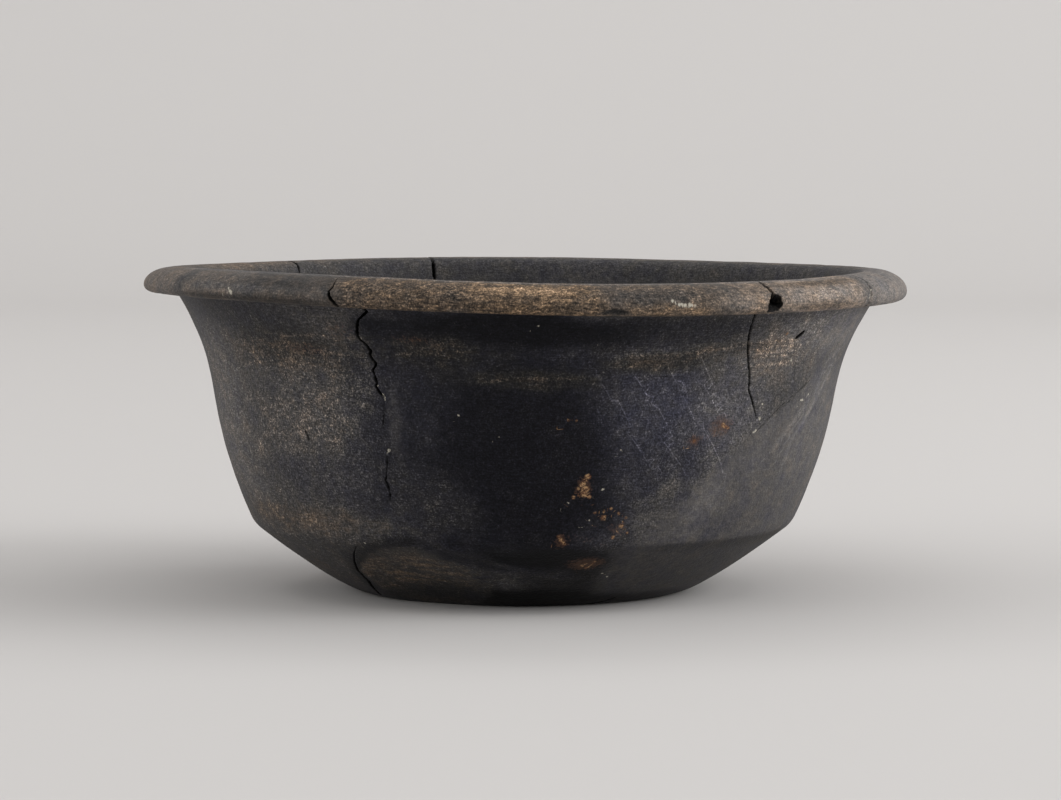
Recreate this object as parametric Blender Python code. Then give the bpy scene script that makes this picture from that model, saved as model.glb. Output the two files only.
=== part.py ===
# A pottery bowl, standing on its foot: a shallow cone with a small flat base,
# a sharp turn, a full wall that draws in and flares again, and a heavy rolled
# rim. It is uneven, as handwork is, and its cracks and chips are cut into it.
# Metres, +Z up. The base lies on z = 0, and the rim is centred on the origin.

import math

import bmesh
import bpy
from mathutils import Vector

# Overall sizes
RIM_DIAMETER = 0.199
HEIGHT = 0.0838
WALL_THICKNESS = 0.0055
TURN_THICKNESS = 0.0070
FLOOR_THICKNESS = 0.0060

# Foot: a flat, a soft start, then a shallow cone up to the sharp turn
FOOT_DIAMETER = 0.083
FOOT_SOFTENING = 0.006
TURN_DIAMETER = 0.1414
TURN_HEIGHT = 0.018

# Wall: how far it leans out at each end, and how much of its rise keeps near that lean
WALL_LEAN_AT_TURN = math.radians(24.0)
WALL_LEAN_AT_RIM = math.radians(32.0)
WALL_FULLNESS = 0.64
NECK_FULLNESS = 0.46

# Rim: a roll that overhangs the wall, flat below and round above
RIM_OVERHANG = 0.0085
RIM_ROLL_HEIGHT = 0.0069
RIM_EDGE_RADIUS = 0.0020
RIM_CREST_INSET = 0.0084
# Lip: how far the flat top runs inwards, and how far up the inner wall keeps its lean
LIP_REACH = 0.0085
LIP_RISE = 0.0080

# Unevenness of the handwork: the rim's height and its roll change on the way round
RIM_TILT = 0.0007
RIM_TILT_ANGLE = math.radians(-154)
RIM_SAG = 0.0004
RIM_SAG_ANGLE = math.radians(33)
RIM_RIPPLE = 0.00045
RIM_RIPPLE_ANGLE = math.radians(-18)
ROLL_SWELL = 0.0011
ROLL_SWELL_ANGLE = math.radians(-35)
LEAN_OF_AXIS = 0.0009

# Cracks are routes of (angle in degrees, share of the way up their stretch).
# The share is 0 at the turn and 1 at the roll on the wall, and 0 at the base
# and 1 at the turn on the cone.

# Open crack from the rim down the front of the wall
MAIN_CRACK_ROUTE = (
    (-114.6, 0.99),
    (-116.8, 0.95),
    (-117.3, 0.89),
    (-116.0, 0.83),
    (-115.4, 0.78),
    (-115.7, 0.72),
    (-115.0, 0.64),
)
MAIN_CRACK_WIDTH = 0.0009
MAIN_CRACK_DEPTH = 0.0034

# The same break, finer, on its way down to the turn
LOWER_CRACK_ROUTE = (
    (-114.0, 0.60),
    (-114.6, 0.51),
    (-114.3, 0.41),
    (-115.3, 0.28),
    (-115.2, 0.20),
)
LOWER_CRACK_WIDTH = 0.0005
LOWER_CRACK_DEPTH = 0.0012

# Crack down the wall from below the chip
SIDE_CRACK_ROUTE = (
    (-51.7, 0.98),
    (-51.2, 0.90),
    (-50.3, 0.82),
    (-48.3, 0.72),
    (-47.6, 0.64),
    (-45.0, 0.54),
)
SIDE_CRACK_WIDTH = 0.0005
SIDE_CRACK_DEPTH = 0.0014

# Crack that curves over the cone from the turn to the base
FOOT_CRACK_ROUTE = (
    (-126.0, 0.88),
    (-131.5, 0.67),
    (-134.7, 0.49),
    (-137.0, 0.29),
    (-141.5, 0.10),
)
FOOT_CRACK_WIDTH = 0.0007
FOOT_CRACK_DEPTH = 0.0014

# Share of its width and depth that a crack keeps at its two ends
CRACK_END_SHARE = 0.4

# Slits through the outer side of the roll: angles in degrees at the crest and the
# underside, and width
MAIN_SLIT = (-119.3, -117.0, 0.0006)
RIGHT_SLIT = (-28.2, -31.0, 0.0005)
CHIP_SLIT = (-52.5, -53.0, 0.0005)
SLIT_REACH = 0.0070

# Break right through the wall at the back, closing downwards
BACK_BREAK_ANGLE = math.radians(107.8)
BACK_BREAK_WIDTH = 0.0007
BACK_BREAK_DROP = 0.024

# Chip out of the lower side of the roll
CHIP_ANGLE = math.radians(-52.8)
CHIP_WIDTH = 0.0042
CHIP_DEPTH = 0.0034
CHIP_RISE = 0.0043

# Small slanting gouge on the neck
GOUGE_ANGLE = -38.5
GOUGE_LEVEL = 0.885
GOUGE_RUN = 0.0023
GOUGE_RISE = 0.0014
GOUGE_WIDTH = 0.0009
GOUGE_DEPTH = 0.0008

# Flake lost from the cone: a flat facet, deepest at the foot
SPALL_ANGLE = math.radians(-117)
SPALL_DEPTH_AT_FOOT = 0.0013
SPALL_DEPTH_AT_TURN = 0.0002
SPALL_REACH = 0.040

# Fineness of the mesh
SEGMENTS = 88
FOOT_STEPS = 5
WALL_STEPS = 9
EDGE_STEPS = 3
ROLL_STEPS = 5
LIP_STEPS = 4
SHARP_ANGLE = math.radians(30)
# How far a cutter reaches outside what it cuts
CLEARANCE = 0.0020

RIM_RADIUS = RIM_DIAMETER / 2
NECK_RADIUS = RIM_RADIUS - RIM_OVERHANG
ROLL_BOTTOM = HEIGHT - RIM_ROLL_HEIGHT
ROLL_WIDEST = ROLL_BOTTOM + RIM_EDGE_RADIUS
CONE = (0, TURN_HEIGHT)
WALL = (TURN_HEIGHT, ROLL_BOTTOM)


def bezier(points, steps):
    """Points along the Bezier curve of these control points, both ends included."""
    curve = []
    for step in range(steps + 1):
        share = step / steps
        level = list(points)
        while len(level) > 1:
            level = [a.lerp(b, share) for a, b in zip(level, level[1:])]
        curve.append(level[0])
    return curve


def direction(lean):
    """The way up an outline that leans out from the vertical by this angle."""
    return Vector((math.sin(lean), math.cos(lean)))


def quarter(centre, half_width, half_height, start, steps):
    """A quarter of an ellipse, anticlockwise from the start angle, without its first point."""
    angles = [start + math.pi / 2 * (step + 1) / steps for step in range(steps)]
    return [centre + Vector((half_width * math.cos(a), half_height * math.sin(a))) for a in angles]


def offset(curve, distances):
    """The curve moved to its left, which is inwards on the way up the outside."""
    moved = []
    for index, (point, distance) in enumerate(zip(curve, distances)):
        before = curve[max(index - 1, 0)]
        after = curve[min(index + 1, len(curve) - 1)]
        along = (after - before).normalized()
        moved.append(point + distance * Vector((-along.y, along.x)))
    return moved


def foot_curve():
    """Outline of the shallow cone, from the edge of the flat to the turn."""
    flat_edge = FOOT_DIAMETER / 2
    start = Vector((flat_edge, 0))
    bend = Vector((flat_edge + FOOT_SOFTENING, 0))
    return bezier([start, bend, Vector((TURN_DIAMETER / 2, TURN_HEIGHT))], FOOT_STEPS)


def wall_curve():
    """Outline of the wall, from the turn to the underside of the roll."""
    turn = Vector((TURN_DIAMETER / 2, TURN_HEIGHT))
    neck = Vector((NECK_RADIUS, ROLL_BOTTOM))
    rise = neck.y - turn.y
    lower = turn + WALL_FULLNESS * rise * direction(WALL_LEAN_AT_TURN)
    upper = neck - NECK_FULLNESS * rise * direction(WALL_LEAN_AT_RIM)
    return bezier([turn, lower, upper, neck], WALL_STEPS)


def roll_curve():
    """Outline of the roll: out along its underside, round its edge and up to the crest."""
    edge_centre = Vector((RIM_RADIUS - RIM_EDGE_RADIUS, ROLL_WIDEST))
    crest_centre = Vector((RIM_RADIUS - RIM_CREST_INSET, ROLL_WIDEST))
    underside = [edge_centre - Vector((0, RIM_EDGE_RADIUS))]
    edge = quarter(edge_centre, RIM_EDGE_RADIUS, RIM_EDGE_RADIUS, -math.pi / 2, EDGE_STEPS)
    top = quarter(crest_centre, RIM_CREST_INSET, HEIGHT - ROLL_WIDEST, 0, ROLL_STEPS)
    return underside + edge + top


def outline():
    """The whole section, from the edge of the flat base round to the inner floor."""
    foot = foot_curve()
    wall = wall_curve()
    roll = roll_curve()
    on_cone = [FLOOR_THICKNESS] * (len(foot) - 1)
    on_wall = [WALL_THICKNESS] * (len(wall) - 1)
    # The lip takes over from the last stretch of the inner wall
    inside = offset(foot + wall[1:], on_cone + [TURN_THICKNESS] + on_wall)[:-1]
    crest = roll[-1]
    inwards = crest - Vector((LIP_REACH, 0))
    upwards = inside[-1] + LIP_RISE * direction(WALL_LEAN_AT_RIM)
    lip = bezier([crest, inwards, upwards, inside[-1]], LIP_STEPS)
    return foot + wall[1:] + roll + lip[1:] + inside[-2::-1]


def rim_wave(angle):
    tilt = RIM_TILT * math.cos(angle - RIM_TILT_ANGLE)
    sag = RIM_SAG * math.cos(2 * (angle - RIM_SAG_ANGLE))
    ripple = RIM_RIPPLE * math.cos(3 * (angle - RIM_RIPPLE_ANGLE))
    return tilt + sag + ripple


def placed(radius, angle, height):
    """A point in space, with the unevenness of the handwork, which grows from the turn up."""
    share = max(0.0, (height - TURN_HEIGHT) / (HEIGHT - TURN_HEIGHT)) ** 2
    below_crest = min(1.0, (HEIGHT - height) / RIM_ROLL_HEIGHT)
    swell = ROLL_SWELL * math.cos(angle - ROLL_SWELL_ANGLE) * below_crest
    lean = LEAN_OF_AXIS * (height - ROLL_WIDEST) / HEIGHT
    x = radius * math.cos(angle) + lean
    y = radius * math.sin(angle)
    return Vector((x, y, height + share * (rim_wave(angle) - swell)))


def outer_radius(height):
    """Radius of the outside below the roll, at this height."""
    outside = foot_curve() + wall_curve()[1:]
    for low, high in zip(outside, outside[1:]):
        if high.y >= height:
            share = (height - low.y) / (high.y - low.y)
            return low.x + share * (high.x - low.x)
    return outside[-1].x


def mesh_object(name, rings):
    """An object of closed rings of points, joined in turn and capped at both ends."""
    build = bmesh.new()
    rows = [[build.verts.new(point) for point in ring] for ring in rings]
    for near, far in zip(rows, rows[1:]):
        for index, start in enumerate(near):
            following = (index + 1) % len(near)
            build.faces.new((start, near[following], far[following], far[index]))
    build.faces.new(rows[0])
    build.faces.new(rows[-1])
    bmesh.ops.recalc_face_normals(build, faces=build.faces)
    mesh = bpy.data.meshes.new(name)
    build.to_mesh(mesh)
    build.free()
    made = bpy.data.objects.new(name, mesh)
    bpy.context.scene.collection.objects.link(made)
    return made


def cut(body, cutter):
    """Cuts one object out of another, and leaves the cutter as a helper."""
    cutter.hide_render = True
    cutter.display_type = "WIRE"
    modifier = body.modifiers.new(cutter.name, "BOOLEAN")
    modifier.operation = "DIFFERENCE"
    modifier.solver = "EXACT"
    modifier.object = cutter


def groove(name, route, stretch, width, depth):
    """A cutter with a V section along a route on the outside below the roll."""
    low, high = stretch
    spots = [(math.radians(degrees), low + share * (high - low)) for degrees, share in route]
    rings = []
    for index, (angle, height) in enumerate(spots):
        before = spots[max(index - 1, 0)]
        after = spots[min(index + 1, len(spots) - 1)]
        radius = outer_radius(height)
        along = Vector((radius * (after[0] - before[0]), after[1] - before[1])).normalized()
        kept = CRACK_END_SHARE if index in (0, len(spots) - 1) else 1
        half = kept * width / 2 * (1 + CLEARANCE / depth)
        ring = []
        for side in (-half, half):
            turned = angle - side * along.y / radius
            ring.append(placed(radius + CLEARANCE, turned, height + side * along.x))
        ring.append(placed(radius - kept * depth, angle, height))
        rings.append(ring)
    return mesh_object(name, rings)


def slit(name, place, low):
    """A thin wedge down through the outer side of the roll, as far as this height."""
    crest_angle, underside_angle, width = place
    outside = RIM_RADIUS + CLEARANCE
    edge = RIM_RADIUS - SLIT_REACH
    half = width / 2 / RIM_RADIUS
    rings = []
    for degrees, height in ((underside_angle, low), (crest_angle, HEIGHT + CLEARANCE)):
        angle = math.radians(degrees)
        ring = [(outside, angle - half), (outside, angle + half), (edge, angle)]
        rings.append([placed(radius, turned, height) for radius, turned in ring])
    return mesh_object(name, rings)


def back_break():
    """A wedge right through the wall, wide at the crest and closed at its foot."""
    top = HEIGHT + CLEARANCE
    bottom = HEIGHT - BACK_BREAK_DROP
    inside = outer_radius(bottom) - WALL_THICKNESS - 2 * CLEARANCE
    rings = []
    for radius in (inside, RIM_RADIUS + CLEARANCE):
        half = BACK_BREAK_WIDTH / 2 / radius
        ring = [(BACK_BREAK_ANGLE - half, top), (BACK_BREAK_ANGLE + half, top), (BACK_BREAK_ANGLE, bottom)]
        rings.append([placed(radius, turned, height) for turned, height in ring])
    return mesh_object("back_break_cutter", rings)


def chip():
    """A rough wedge out of the roll: widest and deepest at its lower edge."""
    # Corners as shares of the chip's width across and of its depth inwards
    lower = ((-0.55, None), (0.45, None), (0.30, 1.0), (-0.35, 0.8))
    upper = ((-0.15, None), (0.50, None), (0.20, 0.4), (0.0, 0.3))
    rings = []
    for height, corners in ((ROLL_BOTTOM - CLEARANCE, lower), (ROLL_BOTTOM + CHIP_RISE, upper)):
        ring = []
        for across, inwards in corners:
            radius = RIM_RADIUS + CLEARANCE if inwards is None else RIM_RADIUS - inwards * CHIP_DEPTH
            ring.append(placed(radius, CHIP_ANGLE + across * CHIP_WIDTH / RIM_RADIUS, height))
        rings.append(ring)
    return mesh_object("chip_cutter", rings)


def gouge():
    """A short slanting scoop out of the neck."""
    low, high = WALL
    radius = outer_radius(low + GOUGE_LEVEL * (high - low))
    run = math.degrees(GOUGE_RUN / 2 / radius)
    rise = GOUGE_RISE / 2 / (high - low)
    route = [(GOUGE_ANGLE + end * run, GOUGE_LEVEL + end * rise) for end in (-1, 0, 1)]
    return groove("gouge_cutter", route, WALL, GOUGE_WIDTH, GOUGE_DEPTH)


def spall():
    """A slab whose inner face slices a flat facet off the cone below the turn."""
    foot = Vector((FOOT_DIAMETER / 2 + FOOT_SOFTENING / 2, 0))
    turn = Vector((TURN_DIAMETER / 2, TURN_HEIGHT))
    along = (turn - foot).normalized()
    inwards = Vector((-along.y, along.x))
    upper = turn + SPALL_DEPTH_AT_TURN * inwards
    lower = foot + SPALL_DEPTH_AT_FOOT * inwards
    # The slab runs on below the foot, as far again
    lower = lower + (lower - upper)
    outwards = SPALL_REACH * inwards
    section = [lower, upper, upper - outwards, lower - outwards]
    middle = [placed(point.x, SPALL_ANGLE, point.y) for point in section]
    sideways = SPALL_REACH * Vector((-math.sin(SPALL_ANGLE), math.cos(SPALL_ANGLE), 0))
    rings = [[point - sideways for point in middle], [point + sideways for point in middle]]
    return mesh_object("spall_cutter", rings)


def fired_clay():
    """Dark smoked clay with a worn burnish."""
    material = bpy.data.materials.new("fired_clay")
    material.use_nodes = True
    shader = material.node_tree.nodes["Principled BSDF"]
    shader.inputs["Base Color"].default_value = (0.030, 0.027, 0.025, 1)
    shader.inputs["Roughness"].default_value = 0.5
    shader.inputs["Metallic"].default_value = 0
    return material


def bowl():
    """The turned body, with every crack and chip cut out of it."""
    angles = [2 * math.pi * step / SEGMENTS for step in range(SEGMENTS)]
    rings = [[placed(point.x, angle, point.y) for angle in angles] for point in outline()]
    body = mesh_object("bowl", rings)
    body.data.materials.append(fired_clay())
    cutters = [
        spall(),
        groove("main_crack_cutter", MAIN_CRACK_ROUTE, WALL, MAIN_CRACK_WIDTH, MAIN_CRACK_DEPTH),
        groove("lower_crack_cutter", LOWER_CRACK_ROUTE, WALL, LOWER_CRACK_WIDTH, LOWER_CRACK_DEPTH),
        groove("side_crack_cutter", SIDE_CRACK_ROUTE, WALL, SIDE_CRACK_WIDTH, SIDE_CRACK_DEPTH),
        groove("foot_crack_cutter", FOOT_CRACK_ROUTE, CONE, FOOT_CRACK_WIDTH, FOOT_CRACK_DEPTH),
        slit("main_slit_cutter", MAIN_SLIT, ROLL_BOTTOM - CLEARANCE),
        slit("right_slit_cutter", RIGHT_SLIT, ROLL_BOTTOM - CLEARANCE),
        slit("chip_slit_cutter", CHIP_SLIT, ROLL_WIDEST),
        chip(),
        back_break(),
        gouge(),
    ]
    for cutter in cutters:
        cut(body, cutter)
    body.data.shade_smooth()
    body.data.set_sharp_from_angle(angle=SHARP_ANGLE)
    return body


for old in list(bpy.data.objects):
    bpy.data.objects.remove(old, do_unlink=True)

bowl()
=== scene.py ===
import math
from itertools import product

import bmesh
import bpy
import numpy as np
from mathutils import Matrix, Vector


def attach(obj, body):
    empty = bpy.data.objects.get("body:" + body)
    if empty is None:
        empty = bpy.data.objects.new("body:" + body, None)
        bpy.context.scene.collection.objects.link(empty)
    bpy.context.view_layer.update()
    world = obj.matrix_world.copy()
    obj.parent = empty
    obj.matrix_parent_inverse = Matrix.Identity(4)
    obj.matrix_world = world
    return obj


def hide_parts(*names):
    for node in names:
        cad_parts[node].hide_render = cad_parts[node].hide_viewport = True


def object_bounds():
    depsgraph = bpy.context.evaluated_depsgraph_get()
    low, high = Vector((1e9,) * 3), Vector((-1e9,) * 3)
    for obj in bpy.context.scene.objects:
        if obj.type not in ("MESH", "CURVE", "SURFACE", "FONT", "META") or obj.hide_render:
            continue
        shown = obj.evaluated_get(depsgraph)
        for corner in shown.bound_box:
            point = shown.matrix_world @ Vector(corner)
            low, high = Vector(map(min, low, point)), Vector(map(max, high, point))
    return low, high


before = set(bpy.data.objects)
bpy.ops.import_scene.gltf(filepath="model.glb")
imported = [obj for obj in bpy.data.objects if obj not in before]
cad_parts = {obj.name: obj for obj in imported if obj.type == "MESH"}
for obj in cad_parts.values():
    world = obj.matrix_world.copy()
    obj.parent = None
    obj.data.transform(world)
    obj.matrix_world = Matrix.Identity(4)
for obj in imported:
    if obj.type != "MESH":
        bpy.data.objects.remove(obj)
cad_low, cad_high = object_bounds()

# Lengths are in millimetres and angles in degrees, until a mesh is made in metres.
MM = 0.001

# The bowl's section and unevenness, as in its solid
RIM_RADIUS = 99.5
HEIGHT = 83.8
WALL_THICKNESS = 5.5
TURN_THICKNESS = 7.0
FLOOR_THICKNESS = 6.0
FOOT_RADIUS = 41.5
FOOT_SOFTENING = 6.0
TURN = (70.7, 18.0)
NECK = (91.0, 76.9)
WALL_LEAN_AT_TURN = 24.0
WALL_LEAN_AT_RIM = 32.0
WALL_FULLNESS = 0.64
NECK_FULLNESS = 0.46
RIM_ROLL_HEIGHT = 6.9
RIM_EDGE_RADIUS = 2.0
RIM_CREST_INSET = 8.4
LIP_REACH = 8.5
LIP_RISE = 8.0
FOOT_STEPS = 5
WALL_STEPS = 9
ROLL_WIDEST = NECK[1] + RIM_EDGE_RADIUS
UNDER_END = (RIM_RADIUS - RIM_EDGE_RADIUS, NECK[1])
CREST = (RIM_RADIUS - RIM_CREST_INSET, HEIGHT)
RIM_WAVES = ((0.7, 1, -154.0), (0.4, 2, 33.0), (0.45, 3, -18.0))
ROLL_SWELL = 1.1
ROLL_SWELL_ANGLE = -35.0
LEAN_OF_AXIS = 0.9

# The flake off the cone, as in the solid
SPALL_ANGLE = -117.0
SPALL_DEPTH_AT_FOOT = 1.3
SPALL_DEPTH_AT_TURN = 0.2
SPALL_EASING = 0.15
SPALL_REACH = 45

# The side that faces the photo's camera
FRONT = -90

# Reach of the rounding at the turn and the neck, and of the evening of the normals
TURN_EASING = 1.5
NECK_EASING = 0.9
NORMAL_EASING = 0.8

# Points round the first mesh, and steps along the section
COLUMNS = 288
SAMPLE = 0.05
FOOT_CURVE_STEPS = 60
WALL_CURVE_STEPS = 160
LIP_STEPS = 40
KNOT_STEPS = 12

# Radius without rings in the middle of the underside and the floor
DISC_MARGIN = 6

# Brings the noise to about -1 to 1
NOISE_GAIN = 1.6

# Depths of the relief left by hand
DENTS = 0.16
STROKES = 0.05
RIPPLES = 0.10

# A chip-like dent in the roll's lower edge
EDGE_DENT_ANGLE = -77.4
EDGE_DENT_HEIGHT = 77.6
EDGE_DENT_DEPTH = 0.9
EDGE_DENT_HALF_WIDTH = 2.2
EDGE_DENT_HALF_HEIGHT = 1.1

CHIP_DEPTH = 2.9
FLAKE_STEP = 0.22

# How far from a line or a spot its mark reaches
LINE_REACH = 6.0
SPOT_REACH = 3.0

# Radius at which the skin is laid flat, and how far the back is moved off the front
PANEL_RADIUS = 80.0
BACK_APART = 300.0

# How far the surface stays inside the solid's box, in metres
BOX_MARGIN = 2e-5


# The section: points of (radius, height)
def bezier(points, steps):
    share = np.linspace(0, 1, steps + 1)[:, None]
    level = [np.array(p, float)[None, :] for p in points]
    while len(level) > 1:
        level = [a + (b - a) * share for a, b in zip(level, level[1:])]
    return level[0]


def lean(degrees):
    return np.array((math.sin(math.radians(degrees)), math.cos(math.radians(degrees))))


def unit(vector):
    return vector / np.hypot(*vector)


def foot_curve(steps):
    return bezier([(FOOT_RADIUS, 0), (FOOT_RADIUS + FOOT_SOFTENING, 0), TURN], steps)


def wall_curve(steps):
    turn, neck = np.array(TURN), np.array(NECK)
    rise = neck[1] - turn[1]
    lower = turn + WALL_FULLNESS * rise * lean(WALL_LEAN_AT_TURN)
    upper = neck - NECK_FULLNESS * rise * lean(WALL_LEAN_AT_RIM)
    return bezier([turn, lower, upper, neck], steps)


def ellipse(centre, half_width, half_height, start, end, steps):
    angles = np.radians(np.linspace(start, end, steps + 1))
    return np.stack([centre[0] + half_width * np.cos(angles), centre[1] + half_height * np.sin(angles)], 1)


def inner_curve():
    """The lip, then a smooth curve down the inside to the floor."""
    outside = np.vstack([foot_curve(FOOT_STEPS), wall_curve(WALL_STEPS)[1:]])
    walls = [FLOOR_THICKNESS] * FOOT_STEPS + [TURN_THICKNESS] + [WALL_THICKNESS] * WALL_STEPS
    inside = []
    for index, point in enumerate(outside):
        along = unit(outside[min(index + 1, len(outside) - 1)] - outside[max(index - 1, 0)])
        inside.append(point + walls[index] * np.array((-along[1], along[0])))
    inside = inside[:-1]
    top = inside[-1]
    below_lip = top + LIP_RISE * lean(WALL_LEAN_AT_RIM)
    lip = bezier([CREST, np.array(CREST) - (LIP_REACH, 0), below_lip, top], LIP_STEPS)
    knots = [lip[-2]] + inside[::-1]
    knots.append(knots[-1] - (3, 0.1))
    smooth = []
    for a, b, c, d in zip(knots, knots[1:], knots[2:], knots[3:]):
        for share in np.linspace(0, 1, KNOT_STEPS, endpoint=False):
            bend = 2 * a - 5 * b + 4 * c - d + share * (3 * (b - c) + d - a)
            smooth.append(b + 0.5 * share * (c - a + share * bend))
    smooth.append(inside[0])
    return np.vstack([lip, smooth[1:]])


def eased(before, after, reach):
    """Two runs that meet in a corner, rounded over this reach on each side."""
    corner = after[0]
    kept = before[np.hypot(*(before - corner).T) > reach]
    rest = after[np.hypot(*(after - corner).T) > reach]
    return np.vstack([kept, bezier([kept[-1], corner, rest[0]], 10)[1:-1], rest])


outside = eased(foot_curve(FOOT_CURVE_STEPS), wall_curve(WALL_CURVE_STEPS), TURN_EASING)
under = np.array([NECK, (NECK[0] + 3, NECK[1]), UNDER_END])
outside = eased(outside, under, NECK_EASING)
edge = ellipse((UNDER_END[0], ROLL_WIDEST), RIM_EDGE_RADIUS, RIM_EDGE_RADIUS, -90, 0, 16)
top = ellipse((CREST[0], ROLL_WIDEST), RIM_CREST_INSET, HEIGHT - ROLL_WIDEST, 0, 90, 40)
inner = inner_curve()
flat = np.array([(0, 0), (FOOT_RADIUS - 0.5, 0)])
floor_end = np.array([(0, inner[-1][1] - 0.25)])
section = np.vstack([flat, outside, edge[1:], top[1:], inner[1:], floor_end])
lengths = np.concatenate([[0], np.cumsum(np.hypot(*np.diff(section, axis=0).T))]) - FOOT_RADIUS
RUN = np.arange(lengths[0], lengths[-1], SAMPLE)
RUN_R = np.interp(RUN, lengths, section[:, 0])
RUN_Z = np.interp(RUN, lengths, section[:, 1])


def softened(values, reach):
    """Values averaged over this reach on each side."""
    window = np.hanning(2 * int(reach / SAMPLE) + 3)[1:-1]
    window = window / window.sum()
    padded = np.pad(values, len(window) // 2, mode="edge")
    return np.convolve(padded, window, mode="valid")


slope_r = softened(np.gradient(RUN_R, SAMPLE), NORMAL_EASING)
slope_z = softened(np.gradient(RUN_Z, SAMPLE), NORMAL_EASING)
slope = np.hypot(slope_r, slope_z)
NORMAL_R = slope_z / slope
NORMAL_Z = -slope_r / slope


def run_at(point):
    """Where along the section a point of it lies."""
    return float(RUN[np.argmin(np.hypot(RUN_R - point[0], RUN_Z - point[1]))])


# Places along the section: 0 at the edge of the foot, below 0 under it, and on over the rim
V_TURN = run_at(TURN)
V_NECK = run_at(NECK)
V_UNDER = run_at(UNDER_END)
V_WIDEST = run_at((RIM_RADIUS, ROLL_WIDEST))
V_CREST = run_at(CREST)
V_LIP = run_at(inner[LIP_STEPS])
V_FLOOR = run_at(inner[-1])
V_END = float(RUN[-1])


def between(first, last, height, way=1):
    """Place of a height between two others. Where the section goes down, way is -1."""
    part = (RUN >= first) & (RUN <= last)
    return float(np.interp(way * height, way * RUN_Z[part], RUN[part]))


# Places of heights: below the roll, on the roll's outer side and on the inner wall
def on_wall(height):
    return between(0, V_NECK, height)


def on_roll(height):
    return between(V_UNDER, V_CREST, height)


def inside_at(height):
    return between(V_CREST, V_FLOOR, height, -1)


def placed(radius, angle, height):
    """Points in space, with the unevenness of the handwork."""
    share = np.maximum(0, (height - TURN[1]) / (HEIGHT - TURN[1])) ** 2
    below_crest = np.minimum(1, (HEIGHT - height) / RIM_ROLL_HEIGHT)
    wave = sum(size * np.cos(times * (angle - math.radians(start))) for size, times, start in RIM_WAVES)
    swell = ROLL_SWELL * np.cos(angle - math.radians(ROLL_SWELL_ANGLE)) * below_crest
    x = radius * np.cos(angle) + LEAN_OF_AXIS * (height - ROLL_WIDEST) / HEIGHT
    return np.stack([x, radius * np.sin(angle), height + share * (wave - swell)], 1)


# Noise
def lattice(points, size, seed):
    """Smooth noise about 0, its lumps this size across."""
    draw = np.random.default_rng(seed)
    order = draw.permutation(256)
    slopes = draw.normal(size=(256, 3))
    slopes /= np.linalg.norm(slopes, axis=1)[:, None]
    scaled = points / size
    cell = np.floor(scaled).astype(int)
    part = scaled - cell
    ease = part * part * part * (part * (part * 6 - 15) + 10)
    total = np.zeros(len(points))
    for corner in product((0, 1), repeat=3):
        at = cell + corner
        pick = order[(order[(order[at[:, 0] & 255] + at[:, 1]) & 255] + at[:, 2]) & 255]
        weight = np.prod(np.where(corner, ease, 1 - ease), axis=1)
        total += weight * np.sum((part - corner) * slopes[pick], axis=1)
    return total * NOISE_GAIN


def layered(points, size, seed, octaves=3):
    """Noise in octaves, each half as large and half as strong as the last."""
    return sum(lattice(points, size / 2 ** k, seed + k) / 2 ** k for k in range(octaves))


# Features: a route is a list of (angle, place along the section, half width, depth). These make one from
# heights in place of places, below the roll or on its outer side, and a line has no width.
def wall_route(*points):
    return [(angle, on_wall(height), *rest) for angle, height, *rest in points]


def roll_route(*points):
    return [(angle, on_roll(height), *rest) for angle, height, *rest in points]


def wall_line(*points):
    return [(angle, on_wall(height), 0, 0) for angle, height in points]


def roll_line(*points):
    return [(angle, on_roll(height), 0, 0) for angle, height in points]


# The open crack, the hairline below it and the crack at its lower end
MAIN_CRACK = wall_route(
    (-115.8, 76.9, 0.26, 1.6), (-115.1, 76.5, 0.34, 2), (-114.8, 75.8, 0.36, 2.2),
    (-115.6, 74.8, 0.22, 2.2), (-116.6, 73.8, 0.18, 2.4), (-117, 72.9, 0.28, 3), (-117.3, 71.8, 0.34, 3.3),
    (-117.5, 70.8, 0.36, 3.3), (-117.7, 69.8, 0.34, 3.3), (-117.4, 69, 0.26, 3.3), (-117, 68.3, 0.26, 3.3),
    (-116.4, 67.5, 0.28, 3.3), (-116.1, 66.7, 0.26, 3.3), (-115.8, 66.1, 0.36, 3.3),
    (-116.1, 65.2, 0.34, 3.3), (-115.9, 64.3, 0.26, 3.3), (-115.6, 63.7, 0.22, 3.3),
    (-115.3, 63.1, 0.3, 3.3), (-115.6, 62.1, 0.24, 3.2), (-116.1, 61.3, 0.2, 3.2),
    (-115.9, 60.7, 0.24, 3.2), (-115.8, 59.7, 0.32, 3.2), (-115.8, 58.9, 0.3, 3), (-115.6, 58.1, 0.2, 2.8),
    (-115.9, 57.5, 0.24, 2.8), (-115.6, 56.8, 0.28, 2.6), (-115.2, 56, 0.24, 2.2),
    (-114.9, 55.4, 0.12, 1.2),
)
MAIN_HAIRLINE = wall_route(
    (-114.8, 55.4, 0.12, 0.4), (-114.3, 54.4, 0.1, 0.2), (-114.6, 53, 0.1, 0.2), (-114.9, 50, 0.14, 0.5),
    (-115.1, 48.6, 0.14, 0.5), (-114.9, 47, 0.1, 0.2), (-114.6, 44, 0.1, 0.2), (-114.4, 42.2, 0.1, 0.2),
)
MAIN_TAIL = wall_route(
    (-114.9, 40.4, 0.1, 0.4), (-115, 39, 0.14, 0.6), (-115.3, 37, 0.14, 0.6), (-115.5, 35.5, 0.1, 0.4),
    (-115.8, 34.4, 0.2, 1), (-115.6, 33.6, 0.22, 1.2), (-115.5, 32.7, 0.2, 1), (-115.3, 31.5, 0.1, 0.4),
    (-115.3, 30.7, 0.16, 0.7), (-115.5, 29.6, 0.12, 0.4),
)

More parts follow.
